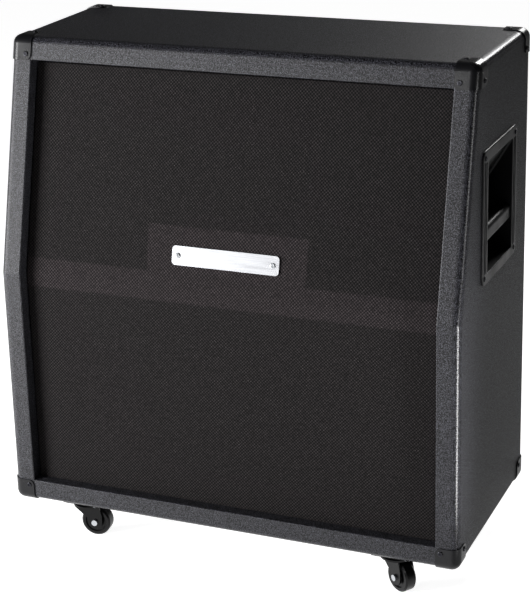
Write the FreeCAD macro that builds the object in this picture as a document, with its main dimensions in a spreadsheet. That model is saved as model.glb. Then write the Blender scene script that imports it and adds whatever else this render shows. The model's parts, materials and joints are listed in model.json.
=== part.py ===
"""Slant-front guitar speaker cabinet on casters, with four twelve inch speakers.

Frame: X to the right, Y to the back, Z up. The origin is on the floor under the middle of the cabinet.
All sizes are millimetres and live in the spreadsheet; every outline is a formula of those cells.
"""
import FreeCAD, Part
import math
import os
import re
import Sketcher

Vector = FreeCAD.Vector

# Driving dimensions
SIZES = {
    # Cabinet box
    "cab_width": 762,
    "cab_depth": 368,
    "cab_height": 760,
    "knee_height": 394,
    "slant_setback": 88,
    "caster_height": 66,
    "edge_radius": 13,
    "vinyl_thick": 1.2,
    "lip_round": 2,
    "panel_thick": 18,
    "border_width": 36,
    "baffle_thick": 18,
    "post_width": 38,
    "post_height": 64,
    "post_drop": 10,
    # Back
    "back_thick": 12,
    "back_recess": 3,
    "back_gap": 0.5,
    "cleat_size": 18,
    "back_screw_inset": 9,
    # Grille
    "grille_recess": 19.5,
    "grille_gap": 1,
    "cloth_thick": 0.8,
    "grille_bar_thick": 12,
    "grille_bar_width": 32,
    "crossbar_reach": 23,
    "badge_board_width": 265,
    "badge_board_reach": 97,
    "nameplate_width": 178,
    "nameplate_height": 30,
    "nameplate_rise": 42,
    "nameplate_thick": 2.5,
    "nameplate_corner": 6,
    "nameplate_screw_inset": 10,
    # Corner protectors
    "corner_leg": 35.5,
    "corner_thick": 2,
    "corner_round": 9,
    "corner_screw_inset": 27,
    "corner_back_inset": 14.6,
    # Side handles
    "handle_width": 184,
    "handle_height": 208,
    "handle_centre_height": 522.5,
    "handle_back_shift": 12.5,
    "handle_plate_thick": 3,
    "handle_corner": 12,
    "handle_rim_round": 2,
    "handle_screw_inset": 11,
    "bead_width": 2.2,
    "bead_height": 0.8,
    "bead_spacing": 7,
    "bead_inset": 10,
    "bead_end_gap": 3,
    "pocket_width": 134,
    "pocket_above": 86.5,
    "pocket_below": 89,
    "pocket_depth": 60,
    "pocket_wall": 3,
    "pocket_gap": 1,
    "ramp_depth": 40,
    "ramp_drop": 67,
    "throat_drop": 84,
    "scoop_radius": 42,
    "pocket_round": 4,
    "mouth_round": 1.2,
    "bar_drop": 44,
    "bar_height": 26,
    "bar_depth": 22,
    "bar_round": 7,
    # Speakers
    "speaker_gap": 21,
    "speaker_side_gap": 42.3,
    "speaker_row_gap": 11,
    "flange_width": 14,
    "flange_thick": 3,
    "seal_thick": 2,
    "basket_wall": 2.5,
    "basket_depth": 92,
    "seat_radius": 64,
    "seat_hole": 28,
    "window_to_seat": 26,
    "window_to_rim": 10.5,
    "terminal_length": 23,
    "terminal_width": 14,
    "terminal_thick": 10,
    "terminal_depth": 61,
    "bolt_inset": 6.5,
    "bolt_radius": 2.4,
    "bolt_head_radius": 4.5,
    "bolt_head_height": 4,
    "bolt_bite": 12,
    "magnet_radius": 74,
    "magnet_bore": 36,
    "magnet_thick": 20,
    "pole_plate_radius": 62,
    "pole_plate_thick": 6,
    "coil_radius": 22,
    "coil_wall": 0.8,
    "coil_gap": 1.2,
    "coil_reach": 102,
    "edge_width": 14.5,
    "cone_edge_depth": 8.4,
    "cone_depth": 62.8,
    "cone_wall": 1.2,
    "cap_radius": 40,
    "cap_rise": 11,
    "cap_shoulder_radius": 24,
    "cap_shoulder_rise": 6.8,
    "roll_rise": 2,
    "soft_gap": 0.4,
    "spider_depth": 72,
    "spider_thick": 1.5,
    # Jack plate
    "jack_plate_width": 110,
    "jack_plate_height": 70,
    "jack_plate_thick": 1.5,
    "jack_plate_rise": 200,
    "jack_hole_width": 80,
    "jack_hole_height": 44,
    "jack_screw_inset": 7,
    "jack_spacing": 44,
    "jack_bore_radius": 3.25,
    "jack_bore_length": 30,
    "jack_barrel_radius": 4.75,
    "jack_nut_radius": 7,
    "jack_nut_thick": 2.5,
    "jack_nose": 4,
    "jack_body_width": 20,
    "jack_body_length": 30,
    "lug_spacing": 10,
    "lead_radius": 2,
    "lead_straight": 30,
    # Screws
    "screw_head_radius": 4.2,
    "screw_head_height": 1.6,
    "screw_head_round": 1.2,
    "screw_radius": 1.75,
    "screw_length": 15,
    "screw_tip": 3,
    "long_screw_head_radius": 5,
    "long_screw_head_height": 2.4,
    "long_screw_head_round": 1.8,
    "long_screw_radius": 2.1,
    "long_screw_length": 22,
    "cross_length": 4.4,
    "cross_width": 1,
    "cross_depth": 1,
    # Casters
    "caster_side_inset": 112,
    "caster_front_inset": 44,
    "caster_rear_inset": 45,
    "caster_plate_size": 62,
    "caster_plate_thick": 3,
    "caster_screw_span": 48,
    "race_radius": 17,
    "race_height": 6,
    "race_gap": 0.3,
    "crown_radius": 26,
    "crown_thick": 3,
    "kingpin_radius": 5,
    "kingpin_head_radius": 9,
    "kingpin_head_thick": 3,
    "running_gap": 0.05,
    "caster_trail": 14,
    "wheel_radius": 25,
    "wheel_width": 20,
    "wheel_rim_height": 7,
    "wheel_dish": 2.5,
    "wheel_step": 1,
    "wheel_shoulder": 2.5,
    "hub_radius": 9,
    "leg_gap": 1.2,
    "leg_thick": 2.5,
    "leg_half_width": 12.5,
    "leg_foot_round": 12,
    "leg_root": 21,
    "axle_radius": 3.5,
    "axle_head_radius": 5,
    "axle_head_thick": 3.5,
}

# Counts, shares and angles
SPOKES = 6
WINDOW_SHARE = 0.57
SPEAKER_BOLTS = 4
BACK_SCREW_COLUMNS = (-0.8, -0.27, 0.27, 0.8)
BACK_SCREW_ROWS = (0.12, 0.5, 0.88)
LEAD_ARC_SHARE = 0.45
CASTER_ANGLES = {"front_left": 6, "front_right": -34, "back_left": 65, "back_right": 115}
# How far a cutting block runs past the face that it opens
PAST = "30"
# Points nearer than this are the same point, and edges within this cosine run the same way
SAME_POINT = 0.01
SAME_WAY = 0.999

doc = FreeCAD.newDocument("speaker_cabinet")
sheet = doc.addObject("Spreadsheet::Sheet", "Sizes")
for row, (alias, size) in enumerate(SIZES.items(), start=1):
    sheet.set(f"A{row}", alias)
    sheet.set(f"B{row}", str(size))
    sheet.setAlias(f"B{row}", alias)
doc.recompute()

ALIAS = re.compile(r"\b(" + "|".join(SIZES) + r")\b")
NODES = []


# Formulas of the sheet
def formula(text):
    return ALIAS.sub(r"Sizes.\1", str(text))


def number(text):
    return float(sheet.evalExpression(formula(text)))


def bind(item, name, text):
    item.setExpression(name, formula(text))


def node(item, label):
    """Mark a finished piece as a sub-part under its own label."""
    item.Label = label
    NODES.append(item)
    return item


# Places on the bent front: depth is measured square to the face, from the outside inwards
FRONT = "(-cab_depth / 2)"
BACK = "(cab_depth / 2)"
SLOPE = "(slant_setback / (cab_height - knee_height))"
STRETCH = f"sqrt(1 + {SLOPE} * {SLOPE})"
SLANT_LENGTH = f"((cab_height - knee_height) * {STRETCH})"
WALL = "(vinyl_thick + panel_thick)"
INNER_HALF = f"(cab_width / 2 - {WALL})"
OPENING_HALF = "(cab_width / 2 - border_width)"
GRILLE_FRONT = "(grille_recess + cloth_thick)"
BAFFLE_FRONT = f"({GRILLE_FRONT} + grille_bar_thick)"
BAFFLE_REAR = f"({BAFFLE_FRONT} + baffle_thick)"
TOP_UNDERSIDE = f"(cab_height - {WALL})"
BACK_FACE = f"({BACK} - back_recess)"
BACK_INSIDE = f"({BACK_FACE} - back_thick)"


def up(height):
    return f"caster_height + {height}"


def lower(height, depth):
    return f"{FRONT} + {depth}", up(height)


def knee(depth):
    return f"{FRONT} + {depth}", f"{up('knee_height')} - ({depth}) * {SLOPE} / ({STRETCH} + 1)"


def slant(along, depth):
    """A point of the leaning face: along runs up the face from the knee."""
    across = f"(({along}) * {SLOPE} + ({depth})) / {STRETCH}"
    rise = f"(({along}) - ({depth}) * {SLOPE}) / {STRETCH}"
    return f"{FRONT} + {across}", f"{up('knee_height')} + {rise}"


def slant_at(height, depth):
    """The point of the leaning face at a given height above the cabinet's underside."""
    return f"{FRONT} + ({depth}) * {STRETCH} + (({height}) - knee_height) * {SLOPE}", up(height)


def side_outline(inset):
    return [
        lower(inset, inset),
        (f"{BACK} - ({inset})", up(inset)),
        (f"{BACK} - ({inset})", up(f"cab_height - ({inset})")),
        slant_at(f"cab_height - ({inset})", inset),
        knee(inset),
    ]


def front_outline(bottom, along, outer, inner):
    return [
        lower(bottom, outer), knee(outer), slant(along, outer),
        slant(along, inner), knee(inner), lower(bottom, inner),
    ]


def rectangle(low_a, high_a, low_b, high_b):
    return [(low_a, low_b), (high_a, low_b), (high_a, high_b), (low_a, high_b)]


# Bodies, sketches and features
def new_body(name):
    return doc.addObject("PartDesign::Body", name)


def origin_feature(body, role):
    return next(item for item in body.Origin.OriginFeatures if item.Role == role)


def draw(body, plane, loops, offset):
    """A sketch of closed outlines whose every corner is tied to the sheet."""
    sketch = body.newObject("Sketcher::SketchObject", f"{body.Name}_sketch")
    sketch.AttachmentSupport = [(origin_feature(body, f"{plane}_Plane"), "")]
    sketch.MapMode = "FlatFace"
    bind(sketch, "AttachmentOffset.Base.z", offset)
    for loop in loops:
        corners = [Vector(number(a), number(b), 0) for a, b in loop]
        first = sketch.GeometryCount
        for index, corner in enumerate(corners):
            sketch.addGeometry(Part.LineSegment(corner, corners[(index + 1) % len(corners)]), False)
        for index, corner in enumerate(corners):
            line = first + index
            following = first + (index + 1) % len(corners)
            sketch.addConstraint(Sketcher.Constraint("Coincident", line, 2, following, 1))
            for kind, text, at in zip(("DistanceX", "DistanceY"), loop[index], (corner.x, corner.y)):
                tie = sketch.addConstraint(Sketcher.Constraint(kind, -1, 1, line, 1, at))
                bind(sketch, f"Constraints[{tie}]", text)
    return sketch


def extrude(body, kind, plane, loops, low, high):
    """Add or remove a straight prism between two formulas along the plane's normal axis."""
    facing_back = plane == "XZ"
    sketch = draw(body, plane, loops, f"-({high})" if facing_back else low)
    feature = body.newObject(f"PartDesign::{kind}", f"{body.Name}_{kind}")
    feature.Profile = sketch
    bind(feature, "Length", f"({high}) - ({low})")
    return feature


def add(body, plane, loops, low, high):
    return extrude(body, "Pad", plane, loops, low, high)


def remove(body, plane, loops, low, high):
    doc.recompute()
    before = body.Shape.Volume
    feature = extrude(body, "Pocket", plane, loops, low, high)
    feature.Reversed = True
    doc.recompute()
    if not body.Shape.Volume < before:
        raise RuntimeError(f"{body.Name}: a pocket removed nothing")
    return feature


def turn(body, outline):
    """A solid of revolution about the body's Z axis, from points of radius and height."""
    sketch = draw(body, "XZ", [outline], "0")
    feature = body.newObject("PartDesign::Revolution", f"{body.Name}_turned")
    feature.Profile = sketch
    feature.ReferenceAxis = (sketch, ["V_Axis"])
    feature.Angle = 360
    return feature


def round_edges(body, radius, chosen):
    doc.recompute()
    base = body.Tip
    names = [f"Edge{i}" for i, edge in enumerate(base.Shape.Edges, start=1) if chosen(edge)]
    fillet = body.newObject("PartDesign::Fillet", f"{body.Name}_round")
    fillet.Base = (base, names)
    bind(fillet, "Radius", radius)
    doc.recompute()
    return fillet


def near(value, text):
    return abs(value - number(text)) < SAME_POINT


def runs_along(edge, axis):
    if len(edge.Vertexes) < 2:
        return False
    span = edge.Vertexes[-1].Point - edge.Vertexes[0].Point
    return abs(span.dot(axis)) > SAME_WAY * span.Length


X_AXIS, Y_AXIS, Z_AXIS = Vector(1, 0, 0), Vector(0, 1, 0), Vector(0, 0, 1)


def prism(name, plane, outline, low, high):
    body = new_body(name)
    add(body, plane, [outline], low, high)
    return body


def block(name, x, y, z):
    """A box between formulas for its low and high sides."""
    box = doc.addObject("Part::Box", name)
    for side, letter, (low, high) in zip(("Length", "Width", "Height"), "xyz", (x, y, z)):
        bind(box, side, f"({high}) - ({low})")
        bind(box, f"Placement.Base.{letter}", low)
    return box


def combine(kind, name, base, tool):
    result = doc.addObject(f"Part::{kind}", name)
    result.Base = base
    result.Tool = tool
    return result


def cut(base, *tools):
    for tool in tools:
        base = combine("Cut", f"{base.Name}_cut", base, tool)
    return base


def common(name, base, tool):
    return combine("Common", name, base, tool)


def round_middles(name, base, radius, middles):
    """Round the edges of a combined form that have the given middle points."""
    doc.recompute()
    size = number(radius)
    rounded = doc.addObject("Part::Fillet", name)
    rounded.Base = base
    rounded.Edges = [(index, size, size) for index, edge in enumerate(base.Shape.Edges, start=1)
                     if any((edge.CenterOfMass - middle).Length < SAME_POINT for middle in middles)]
    return rounded


def group(name, items):
    compound = doc.addObject("Part::Compound", name)
    compound.Links = items
    return compound


def spread(name, form, places):
    """One node of equal loose pieces: copies of a form, each moved to its place."""
    doc.recompute()
    copies = []
    for place in places:
        copy = form.Shape.copy()
        copy.Placement = place.multiply(copy.Placement)
        copies.append(copy)
    pieces = doc.addObject("Part::Feature", name)
    pieces.Shape = Part.makeCompound(copies)
    return pieces


def facing(point, direction):
    return FreeCAD.Placement(point, FreeCAD.Rotation(Z_AXIS, direction))


def at(x, y, z):
    return Vector(number(x), number(y), number(z))


# Cross-head screws, turned about Z with the head up and the seat at zero
def screw_form(size):
    """The screw whose sizes in the sheet start with the given word."""
    head_top = f"{size}_head_height"
    body = new_body(f"{size}_form")
    turn(body, [
        ("0", f"-{size}_length"), (f"{size}_radius", f"screw_tip - {size}_length"), (f"{size}_radius", "0"),
        (f"{size}_head_radius", "0"), (f"{size}_head_radius", head_top), ("0", head_top),
    ])
    round_edges(body, f"{size}_head_round", lambda edge: all(near(v.Z, head_top) for v in edge.Vertexes))
    for wide, deep in (("cross_length", "cross_width"), ("cross_width", "cross_length")):
        remove(body, "XY", [rectangle(f"-{wide} / 2", f"{wide} / 2", f"-{deep} / 2", f"{deep} / 2")],
               f"{head_top} - cross_depth", f"{head_top} + {PAST}")
    return body


short_screw = screw_form("screw")
long_screw = screw_form("long_screw")


# The cabinet's outside, its wooden core and the skin that the corner protectors follow
def rounded_form(name, inset, radius):
    body = new_body(name)
    half = f"cab_width / 2 - ({inset})"
    add(body, "YZ", [side_outline(inset)], f"-({half})", half)
    knee_y, knee_z = knee(inset)
    round_edges(body, radius, lambda edge: not (
        near(edge.CenterOfMass.y, knee_y) and near(edge.CenterOfMass.z, knee_z)))
    return body


outer_form = rounded_form("outer_form", "0", "edge_radius")
wood_form = rounded_form("wood_form", "vinyl_thick", "edge_radius - vinyl_thick")
corner_form = rounded_form("corner_form", "-corner_thick", "edge_radius + corner_thick")

FULL_Y = (FRONT, BACK)
FULL_Z = (up("0"), up("cab_height"))
BETWEEN_SIDES = (f"-{INNER_HALF}", INNER_HALF)


# Places of the fasteners
def corner_screw_places():
    places = []
    out = "corner_thick"
    inset = "corner_screw_inset"
    lean_y = f"-1 / {STRETCH}"
    lean_z = f"{SLOPE} / {STRETCH}"
    for side in (-1, 1):
        near_side = f"{side} * (cab_width / 2 - {inset})"
        outside = f"{side} * (cab_width / 2 + {out})"
        edge = f"{side} * (cab_width / 2 - corner_back_inset)"
        places += [
            # Front faces: upright at the bottom, leaning at the top
            facing(at(near_side, *lower(inset, f"-{out}")), -Y_AXIS),
            facing(at(near_side, *slant(f"{SLANT_LENGTH} - {inset}", f"-{out}")),
                   Vector(0, number(lean_y), number(lean_z))),
            # Side faces
            facing(at(outside, *lower(inset, inset)), side * X_AXIS),
            facing(at(outside, f"{BACK} - {inset}", up(inset)), side * X_AXIS),
            facing(at(outside, *slant_at(f"cab_height - {inset}", inset)), side * X_AXIS),
            facing(at(outside, f"{BACK} - {inset}", up(f"cab_height - {inset}")), side * X_AXIS),
            # Undersides and tops
            facing(at(near_side, f"{FRONT} + {inset}", up(f"-{out}")), -Z_AXIS),
            facing(at(near_side, f"{BACK} - {inset}", up(f"-{out}")), -Z_AXIS),
            facing(at(near_side, f"{slant_at('cab_height', '0')[0]} + {inset}",
                      up(f"cab_height + {out}")), Z_AXIS),
            facing(at(near_side, f"{BACK} - {inset}", up(f"cab_height + {out}")), Z_AXIS),
            # Back faces, into the panel's own edge
            facing(at(edge, f"{BACK} + {out}", up(inset)), Y_AXIS),
            facing(at(edge, f"{BACK} + {out}", up(f"cab_height - {inset}")), Y_AXIS),
        ]
    return places


HANDLE_FACE = "cab_width / 2"
HANDLE_MIDDLE = up("handle_centre_height")


def handle_place(side):
    turned = 0 if side > 0 else 180
    point = at(f"{side} * {HANDLE_FACE}", "handle_back_shift", HANDLE_MIDDLE)
    return FreeCAD.Placement(point, FreeCAD.Rotation(Z_AXIS, turned))


def handle_screw_places():
    places = []
    for side in (-1, 1):
        for back in (-1, 1):
            for rise in (-1, 1):
                point = at(f"{side} * ({HANDLE_FACE} + handle_plate_thick)",
                           f"handle_back_shift + {back} * (handle_width / 2 - handle_screw_inset)",
                           f"{HANDLE_MIDDLE} + {rise} * (handle_height / 2 - handle_screw_inset)")
                places.append(facing(point, side * X_AXIS))
    return places


def back_screw_places():
    places = []
    half = f"({INNER_HALF} - back_gap - back_screw_inset)"
    low = up(f"{WALL} + back_gap + back_screw_inset")
    high = up(f"{TOP_UNDERSIDE} - back_gap - back_screw_inset")
    for share in BACK_SCREW_COLUMNS:
        for height in (low, high):
            places.append(facing(at(f"{share} * {half}", BACK_FACE, height), Y_AXIS))
    for side in (-1, 1):
        for share in BACK_SCREW_ROWS:
            height = f"{low} + {share} * (({high}) - ({low}))"
            places.append(facing(at(f"{side} * {half}", BACK_FACE, height), Y_AXIS))
    return places


JACK_MIDDLE = up("jack_plate_rise")
JACK_FACE = f"({BACK_FACE} + jack_plate_thick)"


def jack_screw_places():
    places = []
    for side in (-1, 1):
        for rise in (-1, 1):
            point = at(f"{side} * (jack_plate_width / 2 - jack_screw_inset)", JACK_FACE,
                       f"{JACK_MIDDLE} + {rise} * (jack_plate_height / 2 - jack_screw_inset)")
            places.append(facing(point, Y_AXIS))
    return places


CASTER_HALF = "(cab_width / 2 - caster_side_inset)"
CASTERS = {
    "front_left": (f"-{CASTER_HALF}", f"{FRONT} + caster_front_inset"),
    "front_right": (CASTER_HALF, f"{FRONT} + caster_front_inset"),
    "back_left": (f"-{CASTER_HALF}", f"{BACK} - caster_rear_inset"),
    "back_right": (CASTER_HALF, f"{BACK} - caster_rear_inset"),
}
CASTER_PLATE_LOW = "(caster_height - caster_plate_thick)"


def caster_screw_places():
    places = []
    for x, y in CASTERS.values():
        for side in (-1, 1):
            for back in (-1, 1):
                point = at(f"{x} + {side} * caster_screw_span / 2", f"{y} + {back} * caster_screw_span / 2",
                           CASTER_PLATE_LOW)
                places.append(facing(point, -Z_AXIS))
    return places


NAMEPLATE_FRONT = "(grille_recess - nameplate_thick)"


def nameplate_screw_places():
    out = Vector(0, number(f"-1 / {STRETCH}"), number(f"{SLOPE} / {STRETCH}"))
    middle = slant("nameplate_rise + nameplate_height / 2", NAMEPLATE_FRONT)
    half = "(nameplate_width / 2 - nameplate_screw_inset)"
    return [facing(at(f"{side} * {half}", *middle), out) for side in (-1, 1)]


corner_screws = node(spread("corner_screws", short_screw, corner_screw_places()), "corner_screws")
handle_screws = node(spread("handle_screws", short_screw, handle_screw_places()), "handle_screws")
jack_screws = spread("jack_screws", short_screw, jack_screw_places())
panel_screws = spread("panel_screws", long_screw, back_screw_places())
back_screws = node(group("back_screws", [panel_screws, jack_screws]), "back_screws")
caster_screws = node(spread("caster_screws", long_screw, caster_screw_places()), "caster_screws")
nameplate_screws = node(spread("nameplate_screws", short_screw, nameplate_screw_places()),
                        "nameplate_screws")


# Side handles: a moulded plate with a hand pocket and a grip bar across it
def pocket_outline(wall):
    """The pocket's section, grown by a wall; X runs out of the cabinet, from its outside face."""
    floor = f"-pocket_below - {wall}"
    return [
        ("handle_plate_thick" if wall != "0" else f"handle_plate_thick + {PAST}", floor),
        (f"-pocket_depth - {wall}", floor),
        (f"-pocket_depth - {wall}", f"pocket_above - throat_drop + {wall}"),
        (f"-ramp_depth - {wall}", f"pocket_above - ramp_drop + {wall}"),
        ("0", f"pocket_above + {wall}"),
        ("handle_plate_thick" if wall != "0" else f"handle_plate_thick + {PAST}", f"pocket_above + {wall}"),
    ]


def bead_outlines():
    reach = "handle_height / 2 - handle_screw_inset - screw_head_radius - bead_end_gap"
    loops = []
    for side in (-1, 1):
        for step in (0, 1):
            middle = f"{side} * (handle_width / 2 - bead_inset - {step} * bead_spacing)"
            loops.append(rectangle(f"{middle} - bead_width / 2", f"{middle} + bead_width / 2",
                                   f"-({reach})", reach))
    return loops


def handle(label, side):
    body = new_body(f"{label}_moulding")
    half_width, half_height = "handle_width / 2", "handle_height / 2"
    add(body, "YZ", [rectangle(f"-{half_width}", half_width, f"-{half_height}", half_height)],
        "0", "handle_plate_thick")
    round_edges(body, "handle_corner", lambda edge: runs_along(edge, X_AXIS))
    round_edges(body, "handle_rim_round",
                lambda edge: all(near(v.X, "handle_plate_thick") for v in edge.Vertexes))
    add(body, "YZ", bead_outlines(), "0", "handle_plate_thick + bead_height")
    add(body, "XZ", [pocket_outline("pocket_wall")],
        "-pocket_width / 2 - pocket_wall", "pocket_width / 2 + pocket_wall")

    def back_floor(wall):
        return lambda edge: (runs_along(edge, Y_AXIS)
                             and near(edge.CenterOfMass.x, f"-pocket_depth - {wall}")
                             and near(edge.CenterOfMass.z, f"-pocket_below - {wall}"))

    remove(body, "XZ", [pocket_outline("0")], "-pocket_width / 2", "pocket_width / 2")
    round_edges(body, "scoop_radius", back_floor("0"))
    round_edges(body, "scoop_radius + pocket_wall", back_floor("pocket_wall"))

    def in_mouth(edge):
        return (all(near(v.X, "handle_plate_thick") for v in edge.Vertexes)
                and all(abs(v.Y) < number("pocket_width / 2") + SAME_POINT for v in edge.Vertexes))

    def on_end_wall(edge):
        return all(near(abs(v.Y), "pocket_width / 2") for v in edge.Vertexes) and not in_mouth(edge)

    round_edges(body, "pocket_round", on_end_wall)
    round_edges(body, "mouth_round", in_mouth)
    add(body, "XZ", [rectangle("-bar_depth", "0", "-bar_drop", "bar_height - bar_drop")],
        "-pocket_width / 2", "pocket_width / 2")
    round_edges(body, "bar_round", lambda edge: (
        runs_along(edge, Y_AXIS)
        and (near(edge.CenterOfMass.z, "-bar_drop") or near(edge.CenterOfMass.z, "bar_height - bar_drop"))
        and (near(edge.CenterOfMass.x, "-bar_depth") or near(edge.CenterOfMass.x, "0"))))
    body.Placement = handle_place(side)
    return node(cut(body, handle_screws), label)


handle("handle_left", -1)
handle("handle_right", 1)


def handle_hole(name, side):
    """The hole in the side of the box that a handle's pocket drops into."""
    grown = "(pocket_wall + pocket_gap)"
    low = f"cab_width / 2 - {WALL} - {PAST}"
    x = (low, f"cab_width / 2 + {PAST}")
    if side < 0:
        x = (f"-(cab_width / 2 + {PAST})", f"-({low})")
    half = f"(pocket_width / 2 + {grown})"
    return block(name, x, (f"handle_back_shift - {half}", f"handle_back_shift + {half}"),
                 (f"{HANDLE_MIDDLE} - pocket_below - {grown}", f"{HANDLE_MIDDLE} + pocket_above + {grown}"))


left_hole = handle_hole("left_handle_hole", -1)
right_hole = handle_hole("right_handle_hole", 1)

# Box panels
left_blank = common("left_blank", wood_form,
                    block("left_zone", ("-cab_width / 2", f"-{INNER_HALF}"), FULL_Y, FULL_Z))
right_blank = common("right_blank", wood_form,
                     block("right_zone", (INNER_HALF, "cab_width / 2"), FULL_Y, FULL_Z))
top_blank = common("top_blank", wood_form,
                   block("top_zone", BETWEEN_SIDES, FULL_Y, (up(TOP_UNDERSIDE), up("cab_height"))))
bottom_blank = common("bottom_blank", wood_form,
                      block("bottom_zone", BETWEEN_SIDES, FULL_Y, (up("0"), up(WALL))))
node(cut(left_blank, left_hole, corner_screws, handle_screws), "side_panel_left")
node(cut(right_blank, right_hole, corner_screws, handle_screws), "side_panel_right")
node(cut(top_blank, corner_screws), "top_panel")
node(cut(bottom_blank, corner_screws, caster_screws), "bottom_panel")

# Battens that make the front border as wide as it looks
BATTEN_EDGE = f"({OPENING_HALF} + vinyl_thick)"
BATTEN_TOP = f"({SLANT_LENGTH} - border_width + vinyl_thick)"
SIDE_BATTEN = [
    lower(WALL, "vinyl_thick"), knee("vinyl_thick"), slant_at(TOP_UNDERSIDE, "vinyl_thick"),
    slant_at(TOP_UNDERSIDE, BAFFLE_FRONT), knee(BAFFLE_FRONT), lower(WALL, BAFFLE_FRONT),
]
TOP_BATTEN = [
    slant(BATTEN_TOP, "vinyl_thick"), slant_at(TOP_UNDERSIDE, "vinyl_thick"),
    slant_at(TOP_UNDERSIDE, BAFFLE_FRONT), slant(BATTEN_TOP, BAFFLE_FRONT),
]
left_batten = prism("left_batten", "YZ", SIDE_BATTEN, f"-{INNER_HALF}", f"-{BATTEN_EDGE}")
right_batten = prism("right_batten", "YZ", SIDE_BATTEN, BATTEN_EDGE, INNER_HALF)
node(cut(left_batten, corner_screws), "front_batten_left")
node(cut(right_batten, corner_screws), "front_batten_right")
node(prism("front_batten_top", "YZ", TOP_BATTEN, f"-{BATTEN_EDGE}", BATTEN_EDGE), "front_batten_top")
node(block("front_batten_bottom", (f"-{BATTEN_EDGE}", BATTEN_EDGE),
           (f"{FRONT} + vinyl_thick", f"{FRONT} + {BAFFLE_FRONT}"),
           (up(WALL), up("border_width - vinyl_thick"))), "front_batten_bottom")

# Vinyl covering: the skin of the box, folded into the front opening and round the back edges
lining = prism("lining", "YZ",
               front_outline("border_width - vinyl_thick", BATTEN_TOP, "0", BAFFLE_FRONT),
               f"-{BATTEN_EDGE}", BATTEN_EDGE)
opening = prism("opening", "YZ",
                front_outline("border_width", f"{SLANT_LENGTH} - border_width", f"-{PAST}",
                              f"{BAFFLE_FRONT} + {PAST}"),
                f"-{OPENING_HALF}", OPENING_HALF)
back_opening = block("back_opening", BETWEEN_SIDES, (f"{BACK} - {PAST}", f"{BACK} + {PAST}"),
                     (up(WALL), up(TOP_UNDERSIDE)))
skin = combine("Cut", "skin", outer_form, wood_form)
lined_skin = combine("Fuse", "lined_skin", skin, lining)
lip_middles = [at("0", *lower("border_width", "0")), at("0", *slant(f"{SLANT_LENGTH} - border_width", "0"))]
for side in (-1, 1):
    lip_middles.append(at(f"{side} * {OPENING_HALF}", *lower("(border_width + knee_height) / 2", "0")))
    lip_middles.append(at(f"{side} * {OPENING_HALF}", *slant(f"({SLANT_LENGTH} - border_width) / 2", "0")))
rounded_skin = round_middles("rounded_skin", cut(lined_skin, opening), "lip_round", lip_middles)
node(cut(rounded_skin, back_opening, left_hole, right_hole, corner_screws, handle_screws, caster_screws),
     "vinyl_covering")


# Speakers, built facing up about their own axis and then turned to face the grille
# They are as large as two side by side, one on the lower board and one on the upper board can be
ACROSS_ROOM = f"({INNER_HALF} - speaker_side_gap - speaker_gap / 2) / 2"
LOWER_ROOM = "(knee_height - border_width) / 2 - speaker_row_gap"
UPPER_ROOM = f"({SLANT_LENGTH} - border_width) / 2 - speaker_row_gap"
SPEAKER_RADIUS = f"min({ACROSS_ROOM}; {LOWER_ROOM}; {UPPER_ROOM})"
RIM_RADIUS = f"({SPEAKER_RADIUS} - flange_width)"
CONE_RADIUS = f"({RIM_RADIUS} - edge_width)"


def speaker_place(side, row):
    flip = FreeCAD.Rotation(Z_AXIS, 0 if side < 0 else 180)
    x = f"{side} * (speaker_gap / 2 + {SPEAKER_RADIUS})"
    if row == "lower":
        point = at(x, *lower("(border_width + knee_height) / 2", BAFFLE_REAR))
        lean = 90
    else:
        point = at(x, *slant(f"({SLANT_LENGTH} - border_width) / 2", BAFFLE_REAR))
        lean = 90 - math.degrees(math.atan(number(SLOPE)))
    return FreeCAD.Placement(point, FreeCAD.Rotation(X_AXIS, lean).multiply(flip))


SPEAKERS = {
    f"{row}_{side_name}": speaker_place(side, row)
    for row in ("upper", "lower") for side_name, side in (("left", -1), ("right", 1))
}
FLANGE_REAR = "(-seal_thick - flange_thick)"


def wall_radius(depth):
    """Inside radius of the basket's sloping wall at a depth behind the baffle."""
    wall_height = "(basket_depth - basket_wall - seal_thick)"
    rise = f"(basket_depth - basket_wall - ({depth}))"
    return f"(seat_radius + {rise} * ({RIM_RADIUS} - seat_radius) / {wall_height})"


TERMINAL_REACH = f"({wall_radius('terminal_depth')} + terminal_length)"

bolt_form = new_body("speaker_bolt_form")
turn(bolt_form, [
    ("0", "-bolt_head_height"), ("bolt_head_radius", "-bolt_head_height"), ("bolt_head_radius", "0"),
    ("bolt_radius", "0"), ("bolt_radius", "seal_thick + flange_thick + bolt_bite"),
    ("0", "seal_thick + flange_thick + bolt_bite"),
])


def speaker_bolt_places():
    places = []
    for place in SPEAKERS.values():
        for step in range(SPEAKER_BOLTS):
            turned = FreeCAD.Rotation(Z_AXIS, 360 / SPEAKER_BOLTS * (step + 0.5))
            spot = turned.multVec(at(f"{SPEAKER_RADIUS} - bolt_inset", "0", FLANGE_REAR))
            places.append(place.multiply(FreeCAD.Placement(spot, turned)))
    return places


speaker_bolts = node(spread("speaker_bolts", bolt_form, speaker_bolt_places()), "speaker_bolts")


def window_outline():
    """One gap between two spokes of a basket, as a four-sided cut."""
    middle = math.pi / SPOKES
    half = WINDOW_SHARE * middle
    inner = "(seat_radius + window_to_seat)"
    outer = f"({RIM_RADIUS} - window_to_rim)"
    corners = []
    for radius, angle in ((inner, middle - half), (outer, middle - half),
                          (outer, middle + half), (inner, middle + half)):
        corners.append((f"{radius} * {math.cos(angle):.6f}", f"{radius} * {math.sin(angle):.6f}"))
    return corners


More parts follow.
